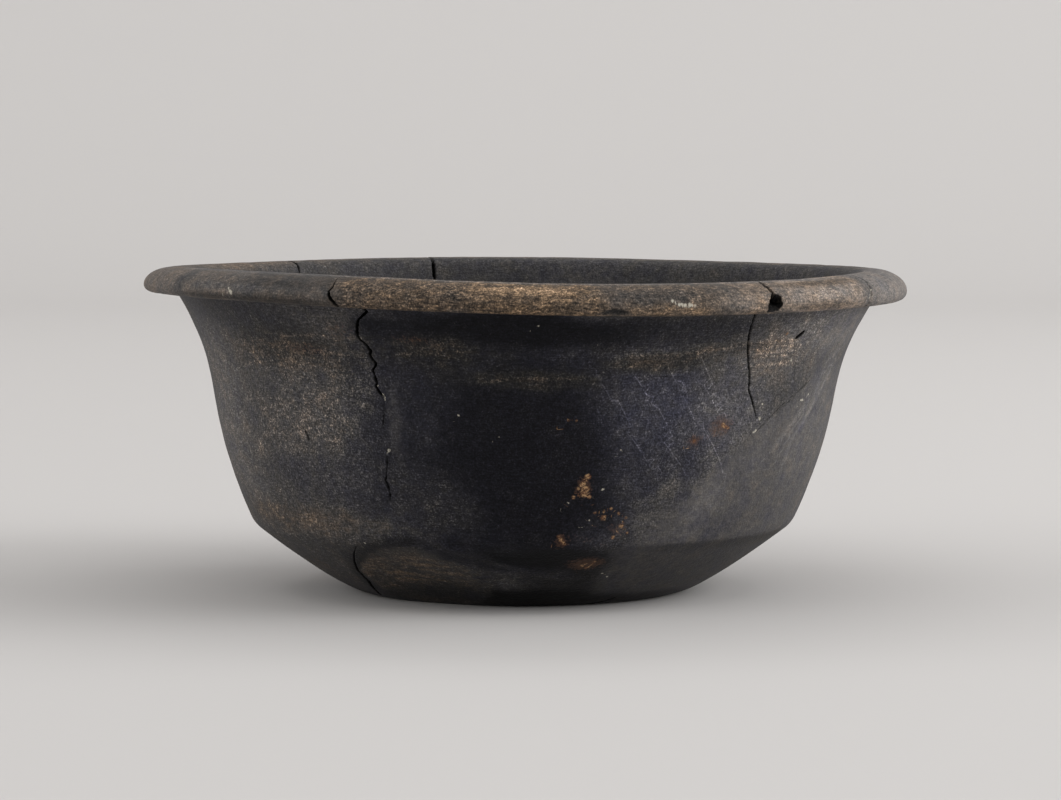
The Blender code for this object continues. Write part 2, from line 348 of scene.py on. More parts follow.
# The open crack's run over the roll and under its edge
RIM_CRACK = roll_route(
    (-118.3, 83.75, 0.06, 0.3), (-118.2, 83.2, 0.08, 0.4), (-117.8, 81.5, 0.12, 0.8),
    (-118.2, 80.5, 0.22, 1.4), (-118, 79.4, 0.36, 1.8), (-117.4, 78.2, 0.46, 2.2), (-117, 77.2, 0.48, 2.2),
)
RIM_CRACK_UNDER = [
    (-116.9, V_UNDER, 0.44, 2.6), (-116.3, (V_UNDER + V_NECK) / 2, 0.3, 2), (-115.8, V_NECK, 0.3, 1.6),
]

# The finer crack down the right, the crack into the chip, and the chip's outline
SIDE_CRACK = wall_route(
    (-51.9, 76.8, 0.24, 1.4), (-51.6, 73.4, 0.22, 1.4), (-51.3, 71.5, 0.24, 1.5), (-50.8, 68.7, 0.2, 1.4),
    (-50.3, 67, 0.22, 1.4), (-49.9, 65.6, 0.2, 1.3), (-48.4, 61, 0.2, 1.3), (-47.9, 58.6, 0.22, 1.3),
    (-47.7, 56.6, 0.18, 1.2), (-46.6, 54.2, 0.18, 1), (-45.7, 52.1, 0.16, 0.9), (-44.5, 49, 0.12, 0.5),
)
CHIP_CRACK = roll_route(
    (-52.3, 83.72, 0.28, 1.4), (-52.8, 83, 0.32, 1.9), (-52.6, 82.2, 0.36, 2.2), (-52.4, 81.3, 0.42, 2.6),
)
CHIP = roll_line(
    (-52.7, 81.4), (-51.9, 81.1), (-51.4, 80.7), (-51.5, 80), (-51.3, 79.1), (-51.6, 78.3), (-52, 77.6),
    (-52.7, 77.4), (-53.7, 77.2), (-53.8, 78.7), (-53.5, 80),
)
CHIP.append(CHIP[0])

# The join over the roll at the right, then the break and the hairline at the back
RIGHT_JOIN = roll_route(
    (-28.4, 83.7, 0.35, 0.3), (-28.7, 82.5, 0.45, 0.45), (-29.6, 80.5, 0.4, 0.4), (-30.3, 79, 0.5, 0.55),
    (-31, 77.2, 0.4, 0.45),
)
BACK_BREAK = [
    (107.8, inside_at(61), 0.05, 0.6), (107.7, inside_at(70), 0.22, 2.2), (107.9, inside_at(78), 0.32, 3.2),
    (107.8, V_CREST, 0.36, 3.6), (107.8, V_WIDEST, 0.36, 3.4), (107.9, V_UNDER, 0.34, 3),
    (107.7, V_NECK, 0.3, 2.6), (107.9, on_wall(70), 0.2, 1.8), (107.6, on_wall(61), 0.06, 0.6),
]
BACK_HAIRLINE = [
    (137.8, inside_at(79), 0.14, 0.5), (137.4, inside_at(82.4), 0.34, 1.3), (137, V_CREST, 0.36, 1.3),
    (136.4, V_WIDEST, 0.16, 0.5), (136.8, V_UNDER, 0.12, 0.3),
]

# The gouge on the right, the crack and the nick at the foot, and the nick on the left
GOUGE = wall_route((-39.1, 69.5, 0.5, 1.1), (-38.5, 70.2, 0.55, 1.3), (-38, 70.8, 0.5, 1.2))
FOOT_CRACK = wall_route(
    (-126.7, 16.6, 0.12, 0.3), (-129.5, 14.4, 0.14, 0.5), (-132.1, 12, 0.18, 0.7), (-134.7, 9.2, 0.26, 1),
    (-136.2, 5.8, 0.34, 1.3), (-139, 3.4, 0.36, 1.4), (-142.5, 1.1, 0.3, 1.2),
)
FOOT_NICK = wall_route((-60.5, 2.2, 0.15, 0.4), (-64, 0.9, 0.3, 0.8), (-68, 0.3, 0.35, 0.8))
NICK = wall_route((-132.3, 45.2, 0.25, 0.5), (-131.8, 43.4, 0.3, 0.6))

# The edge of the mend's fill, and the flake's edge on the front of the cone
MEND = wall_route(
    (-29.5, 59.5, 0.12, 0.22), (-30.7, 57, 0.14, 0.38), (-37, 51.4, 0.14, 0.28), (-44.7, 46.4, 0.12, 0.2),
    (-47.1, 42.4, 0.12, 0.1), (-55.9, 35.6, 0.1, 0), (-62.1, 28.4, 0.1, 0), (-67, 21.3, 0.1, 0),
)
FLAKE_EDGE = wall_route(
    (-110, 17.2, 0.4, 0.1), (-104, 17.4, 0.4, 0.2), (-98.4, 17, 0.4, 0.3), (-95.1, 14.8, 0.4, 0.35),
    (-90.3, 11.8, 0.4, 0.35), (-84.9, 9.9, 0.4, 0.3), (-80.8, 9.1, 0.4, 0.3), (-68.8, 8.9, 0.4, 0.2),
)

# Places with a finer mesh for their paint alone
RUST_CLUSTER = wall_line((-79, 36), (-79.2, 31), (-74, 26), (-71, 23))
WHITE_SPECKS = roll_line((-69.5, 80.4), (-65.8, 79.2))
NOTCH = roll_line((-79, 78.2), (-76, 77.3))

# How close to each route the mesh is made finer: (route, reach of each finer level)
FINE = (
    (MAIN_CRACK, (2.6, 1.5, 0.9, 0.5)), (MAIN_HAIRLINE, (1.6, 0.8, 0.4)), (MAIN_TAIL, (1.8, 0.9, 0.5)),
    (RIM_CRACK, (2.2, 1.4, 0.9, 0.6)), (RIM_CRACK_UNDER, (2, 1.2, 0.8)), (SIDE_CRACK, (2.2, 1.1, 0.6)),
    (CHIP_CRACK, (2, 1.2, 0.7)), (RIGHT_JOIN, (2.2, 1.2, 0.6)), (BACK_BREAK, (2, 1.1, 0.7)),
    (BACK_HAIRLINE, (1.8, 1, 0.6)), (GOUGE, (2, 1.2, 0.8)), (FOOT_CRACK, (2.2, 1.2, 0.7)),
    (FOOT_NICK, (2, 1.1, 0.7)), (MEND, (1.8, 0.9, 0.4)), (FLAKE_EDGE, (2.5, 1)), (NICK, (1.6, 1, 0.6)),
    (RUST_CLUSTER, (4.5, 3.6)), (WHITE_SPECKS, (2.4, 1.8)), (NOTCH, (3, 2)), (CHIP, (2.6, 1.8, 1.2, 0.4)),
)
LEVELS = 4

# Routes that cut no groove
UNCUT = (FLAKE_EDGE, RUST_CLUSTER, WHITE_SPECKS, NOTCH, CHIP)


def gap(angle, start):
    """Difference of two angles, in degrees, the short way round."""
    return (angle - start + 180) % 360 - 180


def along_route(route, angle, place, radius):
    """Distance to a route, its half width and depth there, and the side: above 0 to the right of its run."""
    near = np.full(len(angle), 1e9)
    half, depth, side = np.zeros((3, len(angle)))
    for a, b in zip(route, route[1:]):
        ax = np.radians(gap(a[0], angle)) * radius
        bx = ax + math.radians(gap(b[0], a[0])) * radius
        ay, by = a[1] - place, b[1] - place
        dx, dy = bx - ax, by - ay
        share = np.clip(-(ax * dx + ay * dy) / (dx * dx + dy * dy + 1e-12), 0, 1)
        far = np.hypot(ax + share * dx, ay + share * dy)
        closer = far < near
        near = np.where(closer, far, near)
        half = np.where(closer, a[2] + share * (b[2] - a[2]), half)
        depth = np.where(closer, a[3] + share * (b[3] - a[3]), depth)
        side = np.where(closer, np.sign(dx * ay - dy * ax), side)
    return near, half, depth, side


# The same for the points of the mesh, and their distance round the bowl from an angle
def from_route(route):
    return along_route(route, angle, place, radius)


def across_from(start):
    return np.radians(gap(angle, start)) * radius


def step(value, low, high):
    """0 up to low, 1 from high, and smooth between."""
    share = np.clip((value - low) / (high - low), 0, 1)
    return share * share * (3 - 2 * share)


# The mesh
def rows():
    """Places along the section for the rings of the first mesh."""
    by_turn, by_neck = 1.6, 1.2
    # (last place, space between rings)
    stretches = (
        (-6, 9), (0, 2), (V_TURN - by_turn, 1.5), (V_TURN + by_turn, 0.5), (V_NECK - by_neck, 1.45),
        (V_NECK + by_neck, 0.6), (V_UNDER, 1.2), (V_WIDEST, 0.5), (V_CREST, 0.85), (V_LIP, 1.2),
        (V_FLOOR, 3.4), (V_END - DISC_MARGIN, 9),
    )
    places = []
    start = -FOOT_RADIUS + DISC_MARGIN
    for end, size in stretches:
        count = max(1, round((end - start) / size))
        places += [start + (end - start) * k / count for k in range(count)]
        start = end
    return places + [start]


def bowl_mesh():
    """Rings of the section, made finer near the cracks. Gives the mesh, its points and their places."""
    build = bmesh.new()
    layer = build.verts.layers.float.new("place")

    def ring(place, radius, angles):
        height = np.interp(place, RUN, RUN_Z)
        verts = [build.verts.new((radius * math.cos(a), radius * math.sin(a), height)) for a in angles]
        for vert in verts:
            vert[layer] = place
        return verts

    angles = np.linspace(0, 2 * math.pi, COLUMNS, endpoint=False)
    grid = [ring(place, np.interp(place, RUN, RUN_R), angles) for place in rows()]
    poles = [ring(place, 0, [0])[0] for place in (RUN[0], RUN[-1])]
    for k in range(COLUMNS):
        n = (k + 1) % COLUMNS
        build.faces.new((poles[0], grid[0][n], grid[0][k]))
        build.faces.new((poles[1], grid[-1][k], grid[-1][n]))
        for near, far in zip(grid, grid[1:]):
            build.faces.new((near[k], near[n], far[n], far[k]))
    for level in range(LEVELS):
        spots = np.array([face.calc_center_median() for face in build.faces])
        place = np.array([sum(v[layer] for v in face.verts) / len(face.verts) for face in build.faces])
        angle = np.degrees(np.arctan2(spots[:, 1], spots[:, 0]))
        radius = np.hypot(spots[:, 0], spots[:, 1])
        wanted = np.zeros(len(spots), bool)
        for route, reaches in FINE:
            if level < len(reaches):
                near = along_route(route, angle, place, radius)[0]
                wanted |= near < reaches[level]
        edges = {edge for face, yes in zip(build.faces, wanted) if yes for edge in face.edges}
        bmesh.ops.subdivide_edges(build, edges=list(edges), cuts=1, use_grid_fill=True)
    mesh = bpy.data.meshes.new("bowl_surface")
    bmesh.ops.recalc_face_normals(build, faces=build.faces)
    build.verts.ensure_lookup_table()
    place = np.array([v[layer] for v in build.verts])
    spots = np.array([v.co for v in build.verts])
    build.verts.layers.float.remove(layer)
    build.to_mesh(mesh)
    build.free()
    return mesh, spots, place


mesh, spots, place = bowl_mesh()
angle = np.degrees(np.arctan2(spots[:, 1], spots[:, 0]))
radius = np.interp(place, RUN, RUN_R)
height = np.interp(place, RUN, RUN_Z)
smooth = placed(radius, np.radians(angle), height)
raised = np.zeros(len(smooth))
marks = {}

# Hand-made unevenness: broad dents, strokes of the burnishing tool, and ripples in the roll
raised += DENTS * lattice(smooth, 34, 11) * step(place, 2, 8) * (1 - 0.6 * step(place, V_NECK, V_UNDER))
raised += STROKES * layered(smooth * (1, 1, 2.5), 13, 12) * step(place, 0, 4)
ripples = RIPPLES * np.abs(layered(smooth * (1, 1, 1.5), 9, 17))
raised -= ripples * step(place, V_UNDER - 1, V_UNDER + 2) * (1 - step(place, V_CREST, V_LIP))

across_dent = across_from(EDGE_DENT_ANGLE) / EDGE_DENT_HALF_WIDTH
up_dent = (place - on_roll(EDGE_DENT_HEIGHT)) / EDGE_DENT_HALF_HEIGHT
raised -= EDGE_DENT_DEPTH * np.exp(-(across_dent ** 2 + up_dent ** 2))

# The flake off the cone: what stands outside its plane is taken off
foot_point = np.array((FOOT_RADIUS + FOOT_SOFTENING / 2, 0))
turn_point = np.array(TURN)
up_cone = unit(turn_point - foot_point)
inwards = np.array((-up_cone[1], up_cone[0]))
lower_point = foot_point + SPALL_DEPTH_AT_FOOT * inwards
upper_point = turn_point + SPALL_DEPTH_AT_TURN * inwards
tilt = unit(upper_point - lower_point)
face_out = np.array((tilt[1], -tilt[0]))
spall_angle = math.radians(SPALL_ANGLE)
normal = np.array((math.cos(spall_angle) * face_out[0], math.sin(spall_angle) * face_out[0], face_out[1]))
anchor = placed(np.array([lower_point[0]]), np.array([spall_angle]), np.array([lower_point[1]]))[0]
proud = (smooth - anchor) @ normal
in_spall = (np.abs(gap(angle, SPALL_ANGLE)) < SPALL_REACH) & (place > -3) & (place < V_TURN + 3)
proud = np.where(in_spall, proud, -1)
raised -= SPALL_EASING * np.logaddexp(0, proud / SPALL_EASING)
marks["spall"] = step(proud + 0.25 * layered(smooth, 3, 21), -0.05, 0.25)

# Cracks: jagged and steep-sided, and dark inside with painted shade
ragged = 0.14 * layered(smooth, 1.2, 31, 2)
recess_shade = np.zeros(len(smooth))
pale = np.zeros(len(smooth))
for route, _ in FINE:
    if route in UNCUT:
        continue
    near, half, depth, _ = from_route(route)
    from_middle = near + 1.3 * ragged * np.minimum(1, half / 0.3)
    inside = 1 - step(from_middle, 0.6 * half, 1.1 * half + 0.05)
    shaded = 1 - step(from_middle, 0.85 * half, 1.15 * half + 0.08)
    near_route = near < LINE_REACH
    raised -= np.where(near_route, depth * inside, 0)
    if route is not RIGHT_JOIN:
        recess_shade = np.maximum(recess_shade, np.where(near_route, shaded * step(depth, 0.2, 1), 0))
    worn_edge = (1 - step(near, half + 0.1, half + 1)) * step(depth, 0.5, 2) * 0.5
    pale = np.maximum(pale, np.where(near_route, worn_edge, 0))

# The chip in the rim: rough, with steep sides
near = from_route(CHIP)[0]
within = np.zeros(len(angle), bool)
for a, b in zip(CHIP, CHIP[1:]):
    crosses = (a[1] > place) != (b[1] > place)
    rise = b[1] - a[1] if b[1] != a[1] else 1e-9
    cut = gap(a[0], angle) + (place - a[1]) / rise * (b[0] - a[0])
    within ^= crosses & (cut > 0)
signed = np.where(within & (near < 8), near, -near)
chip = step(signed + 0.9 * ragged, -0.24, 0.02)
rough = layered(smooth, 1.1, 41, 3)
raised -= chip * (CHIP_DEPTH * step(signed, -0.1, 1.1) + 0.5 * rough + 0.6)
marks["chip"] = chip
# Painted shade in the chip, as in the cracks
recess_shade = np.maximum(recess_shade, 0.3 * chip)
marks["recess_shade"] = recess_shade

# Below the flake edge the cone is scraped a touch lower
near, _, _, side = from_route(FLAKE_EDGE)
in_flake = (gap(angle, FRONT) > -22) & (gap(angle, FRONT) < 23) & (place < V_TURN + 1)
raised -= np.where(in_flake, FLAKE_STEP * step(-side * near, -0.6, 1.2) * (1 - step(near, 6, 14)), 0)

# Stains and wear
uneven = 0.3 * layered(smooth, 16, 61, 4)


def patch(at_angle, at_place, half_across, half_up, edge=0.6, slant=0):
    """1 in an uneven oval on the surface. With a slant above 0 its right end lies lower."""
    x = across_from(at_angle)
    y = place - at_place
    turn_x, turn_y = math.cos(math.radians(slant)), math.sin(math.radians(slant))
    reach = np.hypot((x * turn_x - y * turn_y) / half_across, (x * turn_y + y * turn_x) / half_up) + uneven
    return 1 - step(reach, 1 - edge, 1 + edge)


def largest(*ovals):
    """The strongest of these: (strength, angle, place, half across, half up, edge, slant)."""
    return np.maximum.reduce([oval[0] * patch(*oval[1:]) for oval in ovals])


def largest_on_wall(*ovals):
    """The same, with heights below the roll as places."""
    return largest(*((oval[0], oval[1], on_wall(oval[2]), *oval[3:]) for oval in ovals))


def add_to_mark(name, values):
    marks[name] = np.maximum(marks[name], values)


def band(low, high, edge):
    """1 between two places along the section."""
    return step(place, low - edge, low + edge) * (1 - step(place, high - edge, high + edge))


def arc(low, high, edge=3):
    """1 between two angles."""
    middle, half = (low + high) / 2, (high - low) / 2
    return 1 - step(np.abs(gap(angle, middle)) + 6 * uneven, half - edge, half + edge)


# 1 on the outer wall where the photo doesn't look, then 1 on the inner wall
hidden_wall = step(np.abs(gap(angle, FRONT)), 78, 100) * band(-2, V_NECK, 2)
inside_wall = step(place, V_CREST + 2, V_LIP)
cloudy = lattice(smooth, 45, 71)
banded = lattice(smooth * (1, 1, 4), 60, 72)

# The skin's lightness (0 black, 1 pale) and warmth (0 blue-black, 0.5 grey, 1.2 tan)
lightness = 0.64 + 0.1 * uneven
warmth = 0.45 + 0.1 * cloudy
lightness += hidden_wall * (0.26 * cloudy + 0.2 * banded - 0.03)
warmth += hidden_wall * (0.2 * cloudy + 0.16 * banded)
lightness -= inside_wall * (0.05 + 0.12 * cloudy)
warmth -= 0.06 * inside_wall


def paint(to_lightness, to_warmth, mask):
    global lightness, warmth
    lightness = lightness + (to_lightness - lightness) * mask
    warmth = warmth + (to_warmth - warmth) * mask


def paint_wall(table):
    """Paints these: (lightness, warmth, strength, angle, height, half across, half up, edge, slant)."""
    for to_lightness, to_warmth, strength, at_angle, at_height, *oval in table:
        paint(to_lightness, to_warmth, strength * patch(at_angle, on_wall(at_height), *oval))


# The skin's tones, with painted light and shade among the ovals, as noted on each
SKIN_AND_PAINTED_LIGHT = (
    # The oval at -160 is painted light: the left edge, lit from the left.
    (0.71, 0.52, 0.9, -150, 46, 34, 30, 0.5), (0.87, 0.52, 0.8, -160, 46, 15, 26, 0.7),
    # The ovals at -93 and -90 darken the front: the clay's own dark burnish, deepened with painted shade
    # where it faces the shaded floor.
    (0.33, 0.12, 0.95, -93, 46, 36, 40, 0.35), (0.05, 0, 0.95, -90, 38, 23, 25, 0.35),
    # The oval at -92, height 72.5, is painted shade under the roll.
    (-0.08, 0, 0.9, -92, 72.5, 32, 4.5, 0.4), (0.28, 0.42, 0.8, -103, 67, 14, 4.5, 0.5),
    # The cool oval at -66, height 53, is a painted sheen, the broad highlight of the right-hand light.
    (0.33, 0.55, 0.8, -88, 60, 18, 2.2, 0.7, 1), (0.57, 0.1, 0.85, -66, 53, 16, 14, 0.5, 20),
    # The oval at -62, height 73, is painted shade under the roll.
    (0.76, 0.35, 0.8, -51, 52, 12, 14), (0.37, 0.25, 0.8, -62, 73, 17, 4, 0.5),
    (0.44, 0.6, 0.9, -68, 64.3, 13, 2.2, 0.7, -2), (0.78, 0.56, 0.85, -38, 67, 18, 9, 0.5),
    (0.56, 0.58, 0.7, -54, 67.6, 20, 1.4, 0.7, -3), (0.49, 0.18, 0.8, -66, 38, 13, 10),
    (0.6, 0.32, 0.8, -131, 33, 16, 7), (0.49, 0.38, 0.75, -106, 29, 12, 8, 0.6, 15),
    # The oval at -146, height 73.5, is painted shade under the roll.
    (0.41, 0.5, 0.8, -134, 66, 17, 6), (0.45, 0.3, 0.7, -146, 73.5, 24, 3.5),
    (0.7, 0.52, 0.6, -130, 51, 13, 10, 0.7, 10), (0.66, 0.62, 0.85, -142, 22.6, 29, 3.4, 0.5),
    (0.53, 0.5, 0.7, -126, 14, 14, 5), (0.66, 0.58, 0.8, -146, 8, 22, 7, 0.5),
    # The ovals at -84 are painted shade: on the cone at height 14.2, and along the foot at height 2.8.
    (-0.45, -0.1, 0.85, -84, 14.2, 21, 4.4, 0.7, 5), (-0.7, 0.2, 0.92, -84, 2.8, 30, 4.6),
    # The oval at -54 is painted shade on the cone.
    (0.14, 0.4, 0.9, -54, 9, 32, 9, 0.5),
)
paint_wall(SKIN_AND_PAINTED_LIGHT)

# The mend's fill, from its edge on round the right side; the edge is softer low down
near, _, _, side = from_route(MEND)
low_down = 1 - step(place, on_wall(14), on_wall(40))
past_edge = np.where(side < 0, near, -near) + 3 * uneven
fill = step(past_edge, -1.5 - 5 * low_down, 2.5 + 8 * low_down) * (np.abs(gap(angle, -29)) < 60)
fill *= (1 - step(gap(angle, 8) + 30 * uneven, -14, 30)) * band(2, on_wall(61), 4)
fill *= 1 - band(-2, V_TURN, 1.5) * (1 - step(gap(angle, -75) + 8 * uneven, 0, 8))
fill = np.maximum(fill, 0.8 * patch(-14, on_wall(61), 24, 22, 0.5))
paint(0.76, 0.46, 0.9 * fill)
paint(0.93, 0.48, 0.8 * patch(-25, on_wall(72), 28, 7))
marks["fill"] = np.maximum.reduce([fill, 0.6 * patch(-112.5, on_wall(49), 2.2, 9), inside_wall])

# Smears and wipes over the fill and along the lower crack
SMEARS = (
    (0.84, 0.42, 0.7, -53, 27, 4, 9, 0.7, 25), (0.8, 0.45, 0.6, -42, 41, 3, 8, 0.7, 15),
    (0.88, 0.5, 0.5, -20, 60, 2.5, 7, 0.7, 15), (0.84, 0.45, 0.5, -28, 50, 2, 9, 0.7, 12),
    (0.66, 0.4, 0.6, -45, 22, 12, 3, 0.7), (0.68, 0.5, 0.7, -112.6, 49, 1.8, 9),
    (0.74, 0.5, 0.7, -62, 32, 5, 2.2, 0.6, -25), (0.72, 0.46, 0.7, -66, 25, 4, 2.5, 0.6, -20),
    (0.5, 0.4, 0.6, -96, 10, 9, 2, 0.6, 12), (0.85, 0.5, 0.6, -22, 44, 14, 16),
)
paint_wall(SMEARS)

# The cone darkened with painted shade, painted shade along the foot, and the scar of the flake
lightness -= 0.1 * band(2, V_TURN - 0.8, 1) * arc(-76, -10)
lightness -= 0.1 * band(V_TURN - 4.5, V_TURN - 0.8, 0.9) * arc(-62, -16)
paint(-0.5, 0.2, 0.85 * patch(-82, on_wall(1.6), 32, 3.4))
paint(0.6, 0.6, 0.85 * marks["spall"])
paint(0.36, 0.3, 0.7 * marks["spall"] * patch(-104, on_wall(4), 16, 5))

# The rim: (first angle, last angle, lightness, warmth, edge), then ovals on it
roll = band(V_UNDER - 0.5, V_CREST + 3, 1)
RIM = (
    (-178, -150, 0.86, 0.68), (-150, -133, 0.82, 0.66), (-133, -116, 0.68, 0.62), (-116, -99, 0.71, 0.95),
    (-99, -78, 0.79, 1.1), (-78, -60, 0.75, 0.86), (-60, -51, 0.86, 0.86), (-51, -30, 0.97, 0.8),
    (-30, 8, 0.93, 0.56), (8, 182, 0.78, 0.62, 12),
)
for start, end, to_lightness, to_warmth, *edge in RIM:
    paint(to_lightness, to_warmth, roll * arc(start, end, *edge))
ON_RIM_AND_PAINTED_LIGHT = (
    (1, 1.25, 0.9, -90.5, on_roll(82.3), 11, 1.4, 0.5), (0.68, 1.05, 0.8, -92, on_roll(79), 22, 1.6),
    (0.84, 1.05, 0.8, -69, on_roll(78), 13, 1.4), (0.61, 0.62, 0.8, -70, on_roll(81.5), 13, 2),
    # The dark oval at the edge dent is painted shade in the dent under the roll.
    (0.3, 0.5, 0.8, EDGE_DENT_ANGLE, on_roll(EDGE_DENT_HEIGHT), 2.6, 0.9),
    (0.72, 0.9, 0.8, -41, on_roll(83), 14, 1.4), (0.98, 0.8, 0.7, -58, on_roll(80), 7, 2.2),
    (1, 0.68, 0.8, -41, on_roll(81.3), 11, 1.6), (0.76, 0.95, 0.7, -42, on_roll(78.2), 13, 1),
    (0.86, 1.05, 0.8, -160, V_CREST + 1, 9, 3), (0.84, 0.9, 0.8, 152, V_CREST + 3, 26, 3.5),
    # The pale grey oval at -134 on the middle of the roll is a painted gloss streak.
    (0.52, 0.55, 0.7, -127, on_roll(81.5), 9, 1.6), (0.8, 0.46, 0.7, -134, on_roll(80.4), 22, 1.1),
    # The oval at -134 low on the roll is painted shade on its lower side.
    (0.44, 0.58, 0.7, -134, on_roll(77.7), 24, 0.9), (0.56, 0.6, 0.6, -132, V_CREST - 0.6, 20, 1.1),
    (0.74, 0.5, 0.6, -120.5, on_roll(80), 3, 1.6),
)
for to_lightness, to_warmth, strength, *oval in ON_RIM_AND_PAINTED_LIGHT:
    paint(to_lightness, to_warmth, strength * patch(*oval))

# A painted highlight: a pale line along the crest, where the lip catches the light
paint(0.92, 0.44, 0.55 * band(V_CREST - 2.4, V_CREST + 1.6, 0.8) * arc(-160, -38))

# The light strip along the flake's lower edge, and a dark band beside the scar's edge
SWOOSH = wall_line((-107, 18.2), (-105, 16.8), (-99.1, 14.4), (-91.6, 11.9), (-83.4, 9.4), (-75, 8.8))
near = from_route(SWOOSH)[0]
paint(0.36, 0.34, 0.8 * (1 - step(near + 0.8 * uneven, 0.4, 1.6)))
SCAR_EDGE = wall_line((-137, 3.5), (-134.5, 9.2), (-129, 13.1), (-121.3, 16.8), (-113, 18.2))
near, _, _, side = from_route(SCAR_EDGE)
paint(0.2, 0.3, 0.75 * (1 - step(near, 0.4, np.where(side < 0, 4.5, 1))))

# The skin laid flat, for the slanting haze of scratches
marks["across"] = np.radians(gap(angle, FRONT)) * PANEL_RADIUS
marks["along"] = place + np.where(np.abs(gap(angle, FRONT)) > 100, BACK_APART, 0)

# What the material reads
marks["lightness"] = lightness
marks["warmth"] = warmth
marks["worn"] = roll * np.maximum(0.3, np.maximum(arc(-116, -78), 0.6 * arc(-78, -30)))
add_to_mark("fill", roll * (0.75 - 0.5 * arc(-116, -64)))

marks["speckle"] = largest_on_wall(
    (1, -130, 50, 22, 14, 0.7), (1.1, -134, 64, 20, 4), (0.8, -120, 56, 7, 12), (0.9, -104, 67, 12, 4),
    (0.45, -88, 60, 16, 3, 0.7), (0.45, -68, 65, 16, 4, 0.7), (0.3, -46, 67, 16, 5, 0.7),
    (0.6, -107, 30, 14, 7), (0.35, -142, 22, 26, 5), (0.35, -64, 31, 7, 3, 0.6, -25),
    (0.35, -66, 45, 16, 14),
)
add_to_mark("speckle", hidden_wall * (0.25 + 0.3 * cloudy))
marks["streak"] = largest_on_wall(
    (0.7, -134, 64, 22, 5), (0.6, -118, 67, 10, 5), (0.8, -104, 67, 14, 4), (0.7, -89, 60, 17, 2.6, 0.7),
    (0.6, -67, 65, 13, 3.4, 0.7), (0.5, -52, 67.5, 22, 3, 0.7), (0.4, -43, 65, 13, 4.5, 0.7),
    (0.6, -142, 22.5, 26, 3.4, 0.7), (0.6, -115, 22, 12, 2.5), (1, -117, 9, 20, 9, 0.4),
)
add_to_mark("streak", hidden_wall * (0.3 + 0.5 * banded))
marks["rust"] = largest_on_wall(
    (0.5, -78.9, 33.1, 2.4, 3.2), (0.58, -52.6, 47.6, 4.2, 3, 0.7), (0.55, -58.5, 44.2, 2.4, 1.9, 0.7),
    (0.3, -78.5, 20, 8, 1.2), (0.62, -75.2, 13, 5, 3, 0.7, -12), (0.6, -82.3, 19.6, 1.7, 2.4),
    (0.4, -42.3, 70.8, 1.6, 1.4), (0.35, -71.4, 22.5, 3, 2.4), (0.4, -98.5, 1.6, 2.6, 0.8),
    (0.35, -118.9, 16.5, 1.8, 0.9), (0.35, -111.1, 15.3, 1.8, 0.9), (0.42, -129, 65.5, 8, 2, 0.7),
    (0.42, -108, 69.3, 6, 1.6, 0.7), (0.38, -121, 71, 4, 3, 0.7),
)
marks["scratch"] = largest_on_wall(
    (1, -66, 54, 24, 16), (0.5, -100, 50, 30, 18), (0.6, -58, 38, 22, 12), (0.4, -45, 60, 20, 12),
    (0.5, 60, 50, 60, 22), (0.5, 150, 40, 50, 22),
)
marks["crumbs"] = largest(
    (0.9, -69.1, on_roll(80.5), 0.9, 0.5, 0.4), (1, -67.2, on_roll(79.5), 2.3, 0.55, 0.5),
    (0.7, -29.6, on_roll(80.6), 0.9, 3, 0.5), (0.35, -62, on_wall(31), 5, 1.5, 0.6, -25),
    (0.8, -28.9, on_wall(56), 1.6, 3, 0.6, 15), (0.8, -136, on_roll(79.1), 1.1, 0.9, 0.5),
)
add_to_mark("crumbs", 0.6 * pale)


# Lines and spots: each point keeps its distance to them, so that they come out sharp
def signed_to(lines):
    """Distance to the nearest of these lines of (angle, height), above 0 to the right of its run."""
    best = np.full(len(angle), LINE_REACH)
    signed = np.full(len(angle), LINE_REACH)
    for points in lines:
        near, _, _, side = from_route(wall_line(*points))
        closer = near < best
        best = np.where(closer, near, best)
        signed = np.where(closer, np.where(side < 0, -near, near), signed)
    return signed


def mark_spots(name, spots):
    """Marks the offset from the nearest of these spots, across and along, and its size."""
    best = np.full(len(angle), SPOT_REACH)
    by_across, by_along, size_near = best.copy(), best.copy(), np.zeros(len(angle))
    for at_angle, at_place, size in spots:
        x, y = across_from(at_angle), place - at_place
        closer = np.hypot(x, y) < best
        best = np.where(closer, np.hypot(x, y), best)
        by_across, by_along = np.where(closer, x, by_across), np.where(closer, y, by_along)
        size_near = np.where(closer, size, size_near)
    marks[name + "_across"], marks[name + "_along"], marks[name + "_size"] = by_across, by_along, size_near


